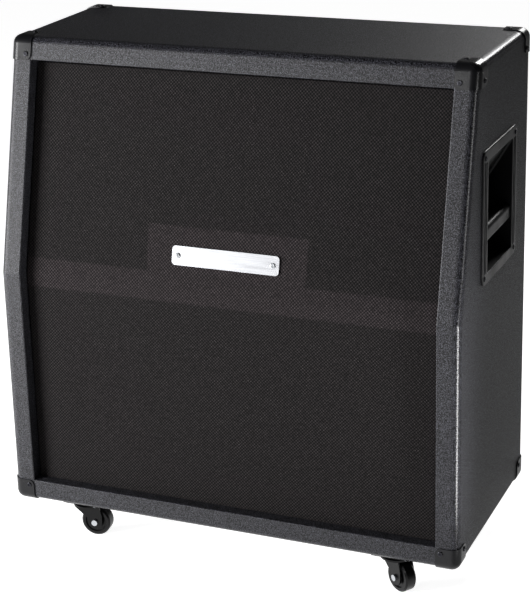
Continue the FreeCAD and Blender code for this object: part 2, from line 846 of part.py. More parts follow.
def basket(label, place):
    body = new_body(f"{label}_pressing")
    turn(body, [
        (SPEAKER_RADIUS, "-seal_thick"), (SPEAKER_RADIUS, FLANGE_REAR),
        (f"{RIM_RADIUS} + basket_wall", FLANGE_REAR), ("seat_radius + basket_wall", "-basket_depth"),
        ("seat_hole", "-basket_depth"), ("seat_hole", "basket_wall - basket_depth"),
        ("seat_radius", "basket_wall - basket_depth"), (RIM_RADIUS, "-seal_thick"),
    ])
    window = remove(body, "XY", [window_outline()], "basket_wall - basket_depth", FLANGE_REAR)
    windows = body.newObject("PartDesign::PolarPattern", f"{label}_windows")
    windows.Originals = [window]
    windows.Axis = (origin_feature(body, "Z_Axis"), [""])
    windows.Angle = 360
    windows.Occurrences = SPOKES
    body.Tip = windows
    doc.recompute()
    inner = f"{wall_radius('terminal_depth')} + basket_wall / 2"
    add(body, "XY", [rectangle(inner, TERMINAL_REACH, "-terminal_width / 2", "terminal_width / 2")],
        "-terminal_depth - terminal_thick / 2", "-terminal_depth + terminal_thick / 2")
    body.Placement = place
    return node(cut(body, speaker_bolts), label)


def magnet(label, place):
    body = new_body(label)
    top = "-basket_depth"
    below = f"{top} - pole_plate_thick"
    under = f"{below} - magnet_thick"
    last = f"{under} - pole_plate_thick"
    gap_outer = "coil_radius + coil_wall + coil_gap"
    pole = "coil_radius - coil_gap"
    turn(body, [
        (gap_outer, top), ("pole_plate_radius", top), ("pole_plate_radius", below),
        ("magnet_radius", below), ("magnet_radius", under), ("pole_plate_radius", under),
        ("pole_plate_radius", last), ("0", last), ("0", top), (pole, top), (pole, under),
        ("magnet_bore", under), ("magnet_bore", below), (gap_outer, below),
    ])
    body.Placement = place
    return node(body, label)


def cone(label, place):
    """Paper cone, dust cap and voice coil former, glued into one moving piece."""
    body = new_body(label)
    steep = f"((cone_depth - cone_edge_depth) / ({CONE_RADIUS} - coil_radius - coil_wall))"
    cap_seat = f"cone_wall - cone_depth + (cap_radius - coil_radius - coil_wall) * {steep}"
    former = "coil_radius + coil_wall"
    turn(body, [
        (CONE_RADIUS, "cone_wall - cone_edge_depth"), (CONE_RADIUS, "-cone_edge_depth"),
        (former, "-cone_depth"), (former, "-coil_reach"), ("coil_radius", "-coil_reach"),
        ("coil_radius", "cone_wall - cone_depth"),
        ("cap_radius - 2 * cone_wall", f"{cap_seat} - 2 * cone_wall * {steep}"),
        ("cap_shoulder_radius", f"{cap_seat} + cap_shoulder_rise - cone_wall"),
        ("0", f"{cap_seat} + cap_rise - cone_wall"), ("0", f"{cap_seat} + cap_rise"),
        ("cap_shoulder_radius", f"{cap_seat} + cap_shoulder_rise"), ("cap_radius", cap_seat),
    ])
    body.Placement = place
    return node(body, label)


def suspension(label, place):
    """Doped edge with its sealing ring, and the spider that centres the coil."""
    edge = new_body(f"{label}_edge")
    inner = f"{CONE_RADIUS} + soft_gap"
    outer = f"{RIM_RADIUS} - soft_gap"
    middle = f"({CONE_RADIUS} + {RIM_RADIUS}) / 2"
    roll = "roll_rise - (cone_edge_depth + seal_thick) / 2"
    turn(edge, [
        (SPEAKER_RADIUS, "0"), (SPEAKER_RADIUS, "-seal_thick"), (outer, "-seal_thick"),
        (middle, roll), (inner, "-cone_edge_depth"), (inner, "cone_wall - cone_edge_depth"),
        (middle, f"{roll} + cone_wall"), (outer, "0"),
    ])
    spider = new_body(f"{label}_spider")
    low = "-spider_depth"
    high = "spider_thick - spider_depth"
    hole = "coil_radius + coil_wall + soft_gap"
    reach = f"{wall_radius('spider_depth')} - soft_gap"
    turn(spider, rectangle(hole, reach, low, high))
    pieces = group(f"{label}_pieces", [edge, spider])
    pieces.Placement = place
    return node(cut(pieces, speaker_bolts), label)


for spot, place in SPEAKERS.items():
    basket(f"speaker_basket_{spot}", place)
    magnet(f"speaker_magnet_{spot}", place)
    cone(f"speaker_cone_{spot}", place)
    suspension(f"speaker_suspension_{spot}", place)


# Baffle boards with a hole for each speaker, and the post that braces them to the back
def baffle(label, outline, row):
    board = prism(f"{label}_board", "YZ", outline, f"-{INNER_HALF}", INNER_HALF)
    for spot, place in SPEAKERS.items():
        if spot.startswith(row):
            hole = doc.addObject("Part::Cylinder", f"hole_{spot}")
            bind(hole, "Radius", RIM_RADIUS)
            bind(hole, "Height", f"baffle_thick + 2 * {PAST}")
            hole.Placement = place.multiply(FreeCAD.Placement(at("0", "0", f"-{PAST}"), FreeCAD.Rotation()))
            board = cut(board, hole)
    return node(cut(board, speaker_bolts), label)


baffle("upper_baffle", [knee(BAFFLE_FRONT), slant_at(TOP_UNDERSIDE, BAFFLE_FRONT),
                        slant_at(TOP_UNDERSIDE, BAFFLE_REAR), knee(BAFFLE_REAR)], "upper")
baffle("lower_baffle", [lower(WALL, BAFFLE_FRONT), knee(BAFFLE_FRONT),
                        knee(BAFFLE_REAR), lower(WALL, BAFFLE_REAR)], "lower")
POST_TOP = up("knee_height - post_drop")
node(block("baffle_post", ("-post_width / 2", "post_width / 2"), (f"{FRONT} + {BAFFLE_REAR}", BACK_INSIDE),
           (f"{POST_TOP} - post_height", POST_TOP)), "baffle_post")

# Back panel, its cleats and the jack plate
jack_hole = block("jack_hole", ("-jack_hole_width / 2", "jack_hole_width / 2"),
                  (f"{BACK} - {PAST}", f"{BACK} + {PAST}"),
                  (f"{JACK_MIDDLE} - jack_hole_height / 2", f"{JACK_MIDDLE} + jack_hole_height / 2"))
back_blank = block("back_blank", (f"back_gap - {INNER_HALF}", f"{INNER_HALF} - back_gap"),
                   (BACK_INSIDE, BACK_FACE), (up(f"{WALL} + back_gap"), up(f"{TOP_UNDERSIDE} - back_gap")))
node(cut(back_blank, jack_hole, panel_screws, jack_screws), "back_panel")

CLEAT_Y = (f"{BACK_INSIDE} - cleat_size", BACK_INSIDE)
CLEAT_INNER = f"({INNER_HALF} - cleat_size)"
cleats = group("cleats", [
    block("cleat_left", (f"-{INNER_HALF}", f"-{CLEAT_INNER}"), CLEAT_Y, (up(WALL), up(TOP_UNDERSIDE))),
    block("cleat_right", (CLEAT_INNER, INNER_HALF), CLEAT_Y, (up(WALL), up(TOP_UNDERSIDE))),
    block("cleat_bottom", (f"-{CLEAT_INNER}", CLEAT_INNER), CLEAT_Y,
          (up(WALL), up(f"{WALL} + cleat_size"))),
    block("cleat_top", (f"-{CLEAT_INNER}", CLEAT_INNER), CLEAT_Y,
          (up(f"{TOP_UNDERSIDE} - cleat_size"), up(TOP_UNDERSIDE))),
])
node(cut(cleats, panel_screws), "back_cleats")


def jack(name, side):
    """Quarter inch socket: barrel and nut outside the plate, moulded body behind it."""
    body = new_body(name)
    mouth = "jack_plate_thick + jack_nose"
    turn(body, [
        ("jack_bore_radius", mouth), ("jack_barrel_radius", mouth),
        ("jack_barrel_radius", "jack_plate_thick + jack_nut_thick"),
        ("jack_nut_radius", "jack_plate_thick + jack_nut_thick"), ("jack_nut_radius", "jack_plate_thick"),
        ("jack_barrel_radius", "jack_plate_thick"), ("jack_barrel_radius", "0"),
        ("jack_nut_radius", "0"), ("jack_nut_radius", "-jack_nut_thick"),
        ("jack_bore_radius", "-jack_nut_thick"),
    ])
    half = "jack_body_width / 2"
    add(body, "XY", [rectangle(f"-{half}", half, f"-{half}", half)],
        "-jack_nut_thick - jack_body_length", "-jack_nut_thick")
    bore = body.newObject("PartDesign::SubtractiveCylinder", f"{name}_bore")
    bind(bore, "Radius", "jack_bore_radius")
    bind(bore, "Height", "jack_bore_length")
    bind(bore, "Placement.Base.z", f"{mouth} - jack_bore_length")
    body.Placement = facing(at(f"{side} * jack_spacing / 2", BACK_FACE, JACK_MIDDLE), Y_AXIS)
    return body


jack_pair = [jack("jack_left", -1), jack("jack_right", 1)]
node(group("jack_pair", jack_pair), "input_jacks")
barrel_hole = doc.addObject("Part::Cylinder", "barrel_hole")
bind(barrel_hole, "Radius", "jack_barrel_radius")
bind(barrel_hole, "Height", "jack_plate_thick")
barrel_holes = spread("barrel_holes", barrel_hole, [socket.Placement for socket in jack_pair])
plate_blank = block("plate_blank", ("-jack_plate_width / 2", "jack_plate_width / 2"), (BACK_FACE, JACK_FACE),
                    (f"{JACK_MIDDLE} - jack_plate_height / 2", f"{JACK_MIDDLE} + jack_plate_height / 2"))
node(cut(plate_blank, barrel_holes, jack_screws), "jack_plate")


# Speaker leads: from each jack, past the post, to the terminals of the speakers on its side
def smooth_path(points):
    """Straight runs joined by arcs as large as the runs allow."""
    edges = []
    start = points[0]
    radii = []
    for before, corner, after in zip(points, points[1:], points[2:]):
        back = (before - corner).normalize()
        ahead = (after - corner).normalize()
        half_turn = (math.pi - back.getAngle(ahead)) / 2
        setback = LEAD_ARC_SHARE * min((before - corner).Length, (after - corner).Length)
        radius = setback / math.tan(half_turn)
        enter = corner + back * setback
        leave = corner + ahead * setback
        bisector = (back + ahead).normalize()
        centre = corner + bisector * (radius / math.cos(half_turn))
        middle = centre - bisector * radius
        edges.append(Part.LineSegment(start, enter).toShape())
        edges.append(Part.Arc(enter, middle, leave).toShape())
        start = leave
        radii.append(radius)
    edges.append(Part.LineSegment(start, points[-1]).toShape())
    print("speaker lead bend radii", [round(radius, 1) for radius in radii])
    return Part.Wire(edges)


def lead(spot, place):
    side = -1 if spot.endswith("left") else 1
    row = 1 if spot.startswith("upper") else -1
    lug_y = f"{BACK_FACE} - jack_nut_thick - jack_body_length"
    lug_z = f"{JACK_MIDDLE} + {row} * lug_spacing / 2"
    start = at(f"{side} * jack_spacing / 2", lug_y, lug_z)
    out = start - Y_AXIS * number("lead_straight")
    tag_x = f"{TERMINAL_REACH} - terminal_width / 2"
    tag_z = "-terminal_depth - terminal_thick / 2"
    behind = place.multVec(at(tag_x, "0", f"{tag_z} - lead_straight"))
    end = place.multVec(at(tag_x, "0", tag_z))
    path = smooth_path([start, out, behind, end])
    section = Part.Wire(Part.makeCircle(number("lead_radius"), start, -Y_AXIS))
    tube = path.makePipeShell([section], True, False)
    expected = path.Length * math.pi * number("lead_radius") ** 2
    if abs(tube.Volume - expected) > 0.01 * expected:
        raise RuntimeError(f"lead {spot}: {tube.Volume:.0f} instead of {expected:.0f}")
    return tube


leads = doc.addObject("Part::Feature", "leads")
leads.Shape = Part.makeCompound([lead(spot, place) for spot, place in SPEAKERS.items()])
node(leads, "speaker_leads")

# Grille: a wooden frame with a crossbar at the knee and a board behind the nameplate, covered in cloth
CLOTH_HALF = f"({OPENING_HALF} - grille_gap)"
CLOTH_LOW = "(border_width + grille_gap)"
CLOTH_HIGH = f"({SLANT_LENGTH} - border_width - grille_gap)"
FRAME_HALF = f"({CLOTH_HALF} - cloth_thick)"
FRAME_LOW = f"({CLOTH_LOW} + cloth_thick)"
FRAME_HIGH = f"({CLOTH_HIGH} - cloth_thick)"


def upper_outline(low, high):
    near_face, far_face = f"{GRILLE_FRONT} - {PAST}", f"{BAFFLE_FRONT} + {PAST}"
    return [slant(low, near_face), slant(high, near_face), slant(high, far_face), slant(low, far_face)]


frame_blank = prism("frame_blank", "YZ", front_outline(FRAME_LOW, FRAME_HIGH, GRILLE_FRONT, BAFFLE_FRONT),
                    f"-{FRAME_HALF}", FRAME_HALF)
WINDOW_HALF = f"({FRAME_HALF} - grille_bar_width)"
lower_window = block("lower_window", (f"-{WINDOW_HALF}", WINDOW_HALF),
                     (f"{FRONT} + {GRILLE_FRONT} - {PAST}", f"{FRONT} + {BAFFLE_FRONT} + {PAST}"),
                     (up(f"{FRAME_LOW} + grille_bar_width"), up("knee_height - crossbar_reach")))
upper_window = prism("upper_window", "YZ",
                     upper_outline("crossbar_reach", f"{FRAME_HIGH} - grille_bar_width"),
                     f"-{WINDOW_HALF}", WINDOW_HALF)
badge_board = prism("badge_board", "YZ", upper_outline("0", "badge_board_reach"),
                    "-badge_board_width / 2", "badge_board_width / 2")
notched_window = combine("Cut", "notched_window", upper_window, badge_board)
node(cut(frame_blank, lower_window, notched_window, nameplate_screws), "grille_frame")

cloth_blank = prism("cloth_blank", "YZ", front_outline(CLOTH_LOW, CLOTH_HIGH, "grille_recess", BAFFLE_FRONT),
                    f"-{CLOTH_HALF}", CLOTH_HALF)
frame_space = prism("frame_space", "YZ",
                    front_outline(FRAME_LOW, FRAME_HIGH, GRILLE_FRONT, f"{BAFFLE_FRONT} + {PAST}"),
                    f"-{FRAME_HALF}", FRAME_HALF)
node(cut(cloth_blank, frame_space, nameplate_screws), "grille_cloth")

plate_body = new_body("nameplate_plate")
plate_low, plate_high = "nameplate_rise", "nameplate_rise + nameplate_height"
add(plate_body, "YZ", [[slant(plate_low, NAMEPLATE_FRONT), slant(plate_high, NAMEPLATE_FRONT),
                        slant(plate_high, "grille_recess"), slant(plate_low, "grille_recess")]],
    "-nameplate_width / 2", "nameplate_width / 2")
lean_inwards = Vector(0, number(f"1 / {STRETCH}"), number(f"-{SLOPE} / {STRETCH}"))
round_edges(plate_body, "nameplate_corner", lambda edge: runs_along(edge, lean_inwards))
node(cut(plate_body, nameplate_screws), "nameplate")

# Corner protectors: the skin round each corner of the box, cut to rounded patches
corner_skin = combine("Cut", "corner_skin", corner_form, outer_form)


def corner_zone(name, side, back, top):
    """The space round one corner of the box, rounded where its three inner sides meet."""
    body = new_body(name)
    box = body.newObject("PartDesign::AdditiveBox", f"{name}_box")
    reach = f"corner_leg + {PAST}"
    for length in ("Length", "Width", "Height"):
        bind(box, length, reach)
    inner = Vector(-side, -back, -top)
    x = f"{side} * (cab_width / 2 - corner_leg)"
    y = f"{BACK} - corner_leg" if back > 0 else f"{FRONT} + corner_leg"
    if back < 0 and top > 0:
        y = f"{slant_at('cab_height', '0')[0]} + corner_leg"
    z = up("cab_height - corner_leg") if top > 0 else up("corner_leg")
    for letter, text, sign in zip("xyz", (x, y, z), (side, back, top)):
        bind(box, f"Placement.Base.{letter}", text if sign > 0 else f"{text} - ({reach})")
    doc.recompute()
    middle = box.Shape.BoundBox.Center
    vertex = min(box.Shape.Vertexes, key=lambda v: -(v.Point - middle).dot(inner)).Point
    round_edges(body, "corner_round",
                lambda edge: any((v.Point - vertex).Length < SAME_POINT for v in edge.Vertexes))
    return body


def corner_set(label, top):
    pieces = []
    for back in (-1, 1):
        for side in (-1, 1):
            name = f"{label}_{'back' if back > 0 else 'front'}_{'right' if side > 0 else 'left'}"
            zone = corner_zone(f"{name}_zone", side, back, top)
            pieces.append(cut(common(name, corner_skin, zone), corner_screws))
    return node(group(f"{label}_set", pieces), label)


corner_set("top_corners", 1)
corner_set("bottom_corners", -1)

# Casters: a fixed plate with its kingpin, a swivelling fork, an axle and a wheel
RACE_LOW = f"({CASTER_PLATE_LOW} - race_height)"
CROWN_TOP = f"({RACE_LOW} - race_gap)"
CROWN_LOW = f"({CROWN_TOP} - crown_thick)"
HEAD_TOP = f"({CROWN_LOW} - race_gap)"
HEAD_LOW = f"({HEAD_TOP} - kingpin_head_thick)"
LEG_INSIDE = "(wheel_width / 2 + leg_gap)"
LEG_OUTSIDE = f"({LEG_INSIDE} + leg_thick)"


def caster_plate(spot):
    body = new_body(f"caster_plate_{spot}")
    turn(body, [
        ("0", CASTER_PLATE_LOW), ("race_radius", CASTER_PLATE_LOW), ("race_radius", RACE_LOW),
        ("kingpin_radius", RACE_LOW), ("kingpin_radius", HEAD_TOP), ("kingpin_head_radius", HEAD_TOP),
        ("kingpin_head_radius", HEAD_LOW), ("0", HEAD_LOW),
    ])
    half = "caster_plate_size / 2"
    add(body, "XY", [rectangle(f"-{half}", half, f"-{half}", half)], CASTER_PLATE_LOW, "caster_height")
    x, y = CASTERS[spot]
    body.Placement = FreeCAD.Placement(at(x, y, "0"), FreeCAD.Rotation())
    return cut(body, caster_screws)


def fork(label, place, axle):
    body = new_body(f"{label}_pressing")
    hole = "kingpin_radius + running_gap"
    turn(body, rectangle(hole, "crown_radius", CROWN_LOW, CROWN_TOP))
    foot = "wheel_radius - leg_half_width"
    heel, toe = "caster_trail - leg_half_width", "caster_trail + leg_half_width"
    leg = [
        ("-leg_root", CROWN_TOP), ("leg_root", CROWN_TOP), (toe, "wheel_radius + leg_half_width"),
        (toe, foot), (heel, foot), (heel, "wheel_radius + leg_half_width / 2"),
        ("-leg_root", f"{CROWN_LOW} - crown_thick"),
    ]
    add(body, "XZ", [leg], LEG_INSIDE, LEG_OUTSIDE)
    add(body, "XZ", [leg], f"-{LEG_OUTSIDE}", f"-{LEG_INSIDE}")
    round_edges(body, "leg_foot_round",
                lambda edge: runs_along(edge, Y_AXIS) and near(edge.CenterOfMass.z, foot))
    body.Placement = place
    return node(cut(body, axle), label)


def axle_place(place):
    across = FreeCAD.Placement(at("caster_trail", "0", "wheel_radius"), FreeCAD.Rotation(Z_AXIS, Y_AXIS))
    return place.multiply(across)


def axle(label, place):
    body = new_body(label)
    end = f"{LEG_OUTSIDE} + axle_head_thick"
    turn(body, [
        ("0", f"-({end})"), ("axle_head_radius", f"-({end})"), ("axle_head_radius", f"-{LEG_OUTSIDE}"),
        ("axle_radius", f"-{LEG_OUTSIDE}"), ("axle_radius", LEG_OUTSIDE), ("axle_head_radius", LEG_OUTSIDE),
        ("axle_head_radius", end), ("0", end),
    ])
    body.Placement = axle_place(place)
    return node(body, label)


def wheel(label, place):
    body = new_body(label)
    half, dish = "wheel_width / 2", "wheel_width / 2 - wheel_dish"
    rim = "wheel_radius - wheel_rim_height"
    side = [
        ("axle_radius + running_gap", half), ("hub_radius", half), ("hub_radius + wheel_step", dish),
        (f"{rim} - wheel_step", dish), (rim, half), ("wheel_radius - wheel_shoulder", half),
        ("wheel_radius", f"{half} - wheel_shoulder"),
    ]
    turn(body, side + [(radius, f"-({height})") for radius, height in reversed(side)])
    body.Placement = axle_place(place)
    return node(body, label)


plates = []
for spot, (x, y) in CASTERS.items():
    swivel = FreeCAD.Placement(at(x, y, "0"), FreeCAD.Rotation(Z_AXIS, CASTER_ANGLES[spot]))
    plates.append(caster_plate(spot))
    fork(f"caster_fork_{spot}", swivel, axle(f"caster_axle_{spot}", swivel))
    wheel(f"caster_wheel_{spot}", swivel)
node(group("plates", plates), "caster_plates")

# Check the document, then write every sub-part
doc.recompute()
for item in doc.Objects:
    if any(word in item.State for word in ("Invalid", "Error")):
        raise RuntimeError(f"{item.Name} failed: {item.State}")
for item in NODES:
    if item.Shape.isNull() or not item.Shape.isValid() or not item.Shape.Solids:
        raise RuntimeError(f"{item.Label} has no valid solid")

os.makedirs("parts", exist_ok=True)
for item in NODES:
    item.Shape.exportStep(f"parts/{item.Label}.step")
    print(f"{item.Label}: {len(item.Shape.Solids)} solids, {item.Shape.Volume / 1000:.1f} cm3")
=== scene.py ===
# %% [markdown]
# # A slant-front guitar speaker cabinet
# The cabinet comes from the CAD program as separate solids in metres: X to the right, Y to the back, Z up, with the
# origin on the floor. Those solids are the fixed frame. This lesson dresses them: each gets a finish built from
# shader nodes, and the grille cloth, which is soft, is made again as a stretched sheet.

# %% Load the frame
import json
import math
import bpy
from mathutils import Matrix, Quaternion, Vector


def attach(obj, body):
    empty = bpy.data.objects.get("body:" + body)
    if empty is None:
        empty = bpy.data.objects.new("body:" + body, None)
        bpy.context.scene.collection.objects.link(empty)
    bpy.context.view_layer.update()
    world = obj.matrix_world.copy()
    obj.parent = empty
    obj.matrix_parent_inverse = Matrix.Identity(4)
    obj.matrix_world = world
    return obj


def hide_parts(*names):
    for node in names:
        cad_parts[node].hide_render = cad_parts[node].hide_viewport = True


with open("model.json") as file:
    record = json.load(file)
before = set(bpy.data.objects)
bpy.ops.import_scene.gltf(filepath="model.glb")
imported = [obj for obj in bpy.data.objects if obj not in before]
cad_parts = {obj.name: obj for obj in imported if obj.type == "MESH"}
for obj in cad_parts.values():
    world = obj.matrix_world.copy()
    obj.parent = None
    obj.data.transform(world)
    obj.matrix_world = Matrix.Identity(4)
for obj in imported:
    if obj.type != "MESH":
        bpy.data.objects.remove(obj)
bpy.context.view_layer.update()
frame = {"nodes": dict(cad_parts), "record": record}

scene = bpy.context.scene
MM = 0.001

# %% [markdown]
# ## Colours and scales
# Colours are written as the hex values that a paint program shows. Blender works in linear light, so one function
# converts them. Patterns are given by a real size in millimetres, and texture nodes want repeats per metre.

# %% Helpers for colours and scales
# A wave texture of scale 1 turns by this many radians to the metre
WAVE_RADIANS = 20


def linear(hex_colour):
    channels = [int(hex_colour[i:i + 2], 16) / 255 for i in (1, 3, 5)]
    return [c / 12.92 if c <= 0.04045 else ((c + 0.055) / 1.055) ** 2.4 for c in channels] + [1]


def per_metre(size_mm):
    return 1000 / size_mm


def wave_scale(size_mm):
    return per_metre(size_mm) * 2 * math.pi / WAVE_RADIANS


print("white in linear light:", linear("#ffffff"), " mid grey:", round(linear("#808080")[0], 3))

# %% [markdown]
# ## One way to add a node
# All the materials are wired with one small helper, which takes a node's settings and what goes into its sockets. The
# ones after it save writing for the nodes that come up most: sums, ranges, noises, blends of two colours and bumps. Two
# more start a material and plug outputs into its shader.

# %% Helpers for nodes
# The colour sockets of a Mix node, which share their names with its other sockets
MIX_A, MIX_B, MIX_OUT = 6, 7, 2
# Most values of a noise lie between these two
NOISE_LOW, NOISE_HIGH = 0.3, 0.7


def add(tree, kind, sockets=None, **settings):
    """Add one node; a socket takes either a value or another node's output."""
    node = tree.nodes.new(kind)
    for name, value in settings.items():
        setattr(node, name, value)
    for name, value in (sockets or {}).items():
        if isinstance(value, bpy.types.NodeSocket):
            tree.links.new(value, node.inputs[name])
        else:
            node.inputs[name].default_value = value
    return node


def calc(tree, operation, *values):
    """Work out one number from up to three."""
    return add(tree, "ShaderNodeMath", dict(enumerate(values)), operation=operation).outputs[0]


def mapped(tree, value, to_low, to_high, from_low=0, from_high=1):
    """Stretch one range over another, and stop at its ends."""
    return add(tree, "ShaderNodeMapRange", {
        "Value": value, "From Min": from_low, "From Max": from_high, "To Min": to_low, "To Max": to_high,
    }).outputs["Result"]


def noise(tree, place, size_mm, **sockets):
    """Soft random values whose largest spots have the given size."""
    return add(tree, "ShaderNodeTexNoise", {"Vector": place, "Scale": per_metre(size_mm), **sockets}).outputs["Fac"]


def blend(tree, share, first, second):
    """Go from the first colour to the second as the share goes from 0 to 1."""
    sockets = {0: share, MIX_A: first, MIX_B: second}
    return add(tree, "ShaderNodeMix", sockets, data_type="RGBA").outputs[MIX_OUT]


def raised(tree, height, height_mm, strength):
    """Bend the surface as a relief of that height would."""
    sockets = {"Height": height, "Distance": height_mm * MM, "Strength": strength}
    return add(tree, "ShaderNodeBump", sockets).outputs["Normal"]


def finish(name, **shader_values):
    """A new material with its Principled shader set to constant values."""
    material = bpy.data.materials.new(name)
    material.use_nodes = True
    tree = material.node_tree
    shader = tree.nodes["Principled BSDF"]
    for socket, value in shader_values.items():
        shader.inputs[socket.replace("_", " ")].default_value = value
    place = add(tree, "ShaderNodeTexCoord").outputs["Object"]
    return material, tree, shader, place


def feed(tree, shader, **links):
    for socket, output in links.items():
        tree.links.new(output, shader.inputs[socket.replace("_", " ")])


finishes = {}
print("most of a noise lies from", NOISE_LOW, "to", NOISE_HIGH)

# %% [markdown]
# ## Vinyl covering
# The box is glued over with PVC cloth whose face was pressed between hot rollers, which leaves small rounded pebbles
# with creases between them. The eye sees black that turns to a grey speckle wherever the pebble tops catch a lamp,
# and that speckle is painted into the colour: the pebble tops are painted grey as a painted highlight and the creases
# near black as painted shade, with a random tone from pebble to pebble. An image of vinyl would need unwrapping, so
# cells of a Voronoi pattern stand for the pebbles: the distance to a cell's middle is its height. A little noise bends
# the cells so that they don't look like a honeycomb. Round the edges of the box the cloth was stretched while it was
# warm, which flattens the pebbles and polishes them, so a bright line runs along each edge that faces a lamp. Only
# there does the surface point between two axes, and that finds the edges.

# %% Embossed black vinyl
PEBBLE_MM = 1.6
PEBBLE_HEIGHT_MM = 0.3
PEBBLE_BEND = 0.4
# Distances from a pebble's middle, in pebbles
DOME_TOP, DOME_FOOT = 0.1, 0.65
TONE_LEAST, TONE_SPREAD = 0.1, 1.0
CREASE_MM = 1.2
CREASE_SHARE = 0.4
CREASE_ROUGHNESS, DOME_POLISH = 0.58, -0.2
# The largest part of the surface's direction along one axis
EDGE_TURN, FLAT_TURN = 0.84, 0.98
EDGE_RELIEF, FLAT_RELIEF = 0.15, 0.9
EDGE_ROUGHNESS = 0.2


def embossed_vinyl():
    material, tree, shader, place = finish("embossed_black_vinyl", IOR=1.53, Specular_IOR_Level=0.25)
    bend = noise(tree, place, 2 * PEBBLE_MM, Detail=1.0).node.outputs["Color"]
    bent = add(tree, "ShaderNodeVectorMath", {0: bend, 1: (PEBBLE_BEND * PEBBLE_MM * MM,) * 3, 2: place},
               operation="MULTIPLY_ADD")
    cells = add(tree, "ShaderNodeTexVoronoi", {"Vector": bent.outputs[0], "Scale": per_metre(PEBBLE_MM)}).outputs
    dome = mapped(tree, cells["Distance"], 1, 0, DOME_TOP, DOME_FOOT)
    height = calc(tree, "MULTIPLY_ADD", noise(tree, place, CREASE_MM, Detail=2.0), CREASE_SHARE, dome)
    around = add(tree, "ShaderNodeVectorMath", {0: place.node.outputs["Normal"]}, operation="ABSOLUTE")
    ways = add(tree, "ShaderNodeSeparateXYZ", {"Vector": around.outputs[0]}).outputs
    most = calc(tree, "MAXIMUM", calc(tree, "MAXIMUM", ways["X"], ways["Y"]), ways["Z"])
    relief = mapped(tree, most, EDGE_RELIEF, FLAT_RELIEF, EDGE_TURN, FLAT_TURN)
    uneven = calc(tree, "MULTIPLY_ADD", cells["Color"], TONE_SPREAD, TONE_LEAST)
    # Painted highlight and painted shade: pebble tops painted grey, creases painted near black, times a random tone per
    # pebble
    colour = blend(tree, calc(tree, "MULTIPLY", uneven, dome), linear("#0b0b0d"), linear("#64646d"))
    matt = calc(tree, "MULTIPLY_ADD", dome, DOME_POLISH, CREASE_ROUGHNESS)
    feed(tree, shader, Base_Color=colour, Roughness=mapped(tree, relief, EDGE_ROUGHNESS, matt),
         Normal=raised(tree, height, PEBBLE_HEIGHT_MM, relief))
    return material


finishes["vinyl"] = embossed_vinyl()
print("vinyl: about", round(per_metre(PEBBLE_MM) ** 2 / 1e4), "pebbles to the square centimetre")

# %% [markdown]
# ## Moulded plastic
# The corner protectors and the handles are injection-moulded ABS. The mould was spark eroded, so the skin is a fine
# even grit that takes the mirror out of the plastic and leaves a soft satin highlight. The handle's mould is a little
# coarser. One function makes both: the grit is a noise bump, and a second, larger noise varies the shine where hands
# and walls have rubbed. The grit is drawn at about three times its real width, or it would be lost in the picture.

# %% Moulded ABS for the corners and the handles
GRIT_HEIGHT_MM = 0.05
GRIT_STRENGTH = 0.8
RUB_MM = 35
RUB_SPREAD = 0.06


def moulded_abs(name, dark, light, grit_mm, rough):
    material, tree, shader, place = finish(name, IOR=1.53, Specular_IOR_Level=0.28)
    grit = noise(tree, place, grit_mm, Detail=3.0)
    rub = noise(tree, place, RUB_MM, Detail=2.0)
    feed(tree, shader, Base_Color=blend(tree, rub, linear(dark), linear(light)),
         Roughness=mapped(tree, rub, rough + RUB_SPREAD, rough - RUB_SPREAD, NOISE_LOW, NOISE_HIGH),
         Normal=raised(tree, grit, GRIT_HEIGHT_MM, GRIT_STRENGTH))
    return material


finishes["corner_plastic"] = moulded_abs("moulded_corner_abs", "#0e0e10", "#17171a", 0.8, 0.27)
finishes["handle_plastic"] = moulded_abs("moulded_handle_abs", "#0c0c0e", "#151518", 1.1, 0.36)
print("moulded:", [finishes[name].name for name in ("corner_plastic", "handle_plastic")])

# %% [markdown]
# ## Metals
# Screws are blackened steel, the axle and speaker bolts are bright zinc plate, the jacks are nickel, and the
# nameplate is brushed and anodised aluminium. A metal shows hardly any colour of its own, only tinted reflections, so
# what tells these apart is how the reflections are blurred: brushing stretches a noise along one direction, and
# plating leaves soft clouds. Metals keep Blender's default index of refraction.

# %% Plated, blackened and brushed metal
CLOUD_MM = 6
CLOUD_SHADE = 0.75
# Real brush lines are a tenth of this wide, too fine to show
BRUSH_MM = 1.2
BRUSH_STRETCH = (0.02, 1.0, 1.0)
BRUSH_DEPTH_MM = 0.02
BRUSH_STRENGTH = 0.5


def plated_metal(name, colour, rough, spread):
    material, tree, shader, place = finish(name, Metallic=1.0)
    cloud = noise(tree, place, CLOUD_MM, Detail=4.0)
    dull = [CLOUD_SHADE * c for c in linear(colour)[:3]] + [1]
    feed(tree, shader, Base_Color=blend(tree, cloud, linear(colour), dull),
         Roughness=mapped(tree, cloud, rough - spread, rough + spread, NOISE_LOW, NOISE_HIGH))
    return material


def brushed_aluminium():
    material, tree, shader, place = finish("brushed_anodised_aluminium", Metallic=1.0)
    stretched = add(tree, "ShaderNodeMapping", {"Vector": place, "Scale": BRUSH_STRETCH}).outputs["Vector"]
    brushing = noise(tree, stretched, BRUSH_MM, Detail=3.0)
    feed(tree, shader, Base_Color=blend(tree, brushing, linear("#898a8d"), linear("#b0b1b4")),
         Roughness=mapped(tree, brushing, 0.3, 0.5),
         Normal=raised(tree, brushing, BRUSH_DEPTH_MM, BRUSH_STRENGTH))
    return material


finishes["black_screw"] = plated_metal("blackened_screw_steel", "#38383c", 0.3, 0.08)
finishes["zinc"] = plated_metal("bright_zinc_plate", "#c9ccd0", 0.26, 0.08)
finishes["jack"] = plated_metal("nickel_plated_brass", "#cfc9bf", 0.18, 0.05)
finishes["nameplate"] = brushed_aluminium()
print("metals:", [finishes[name].name for name in ("black_screw", "zinc", "jack", "nameplate")])

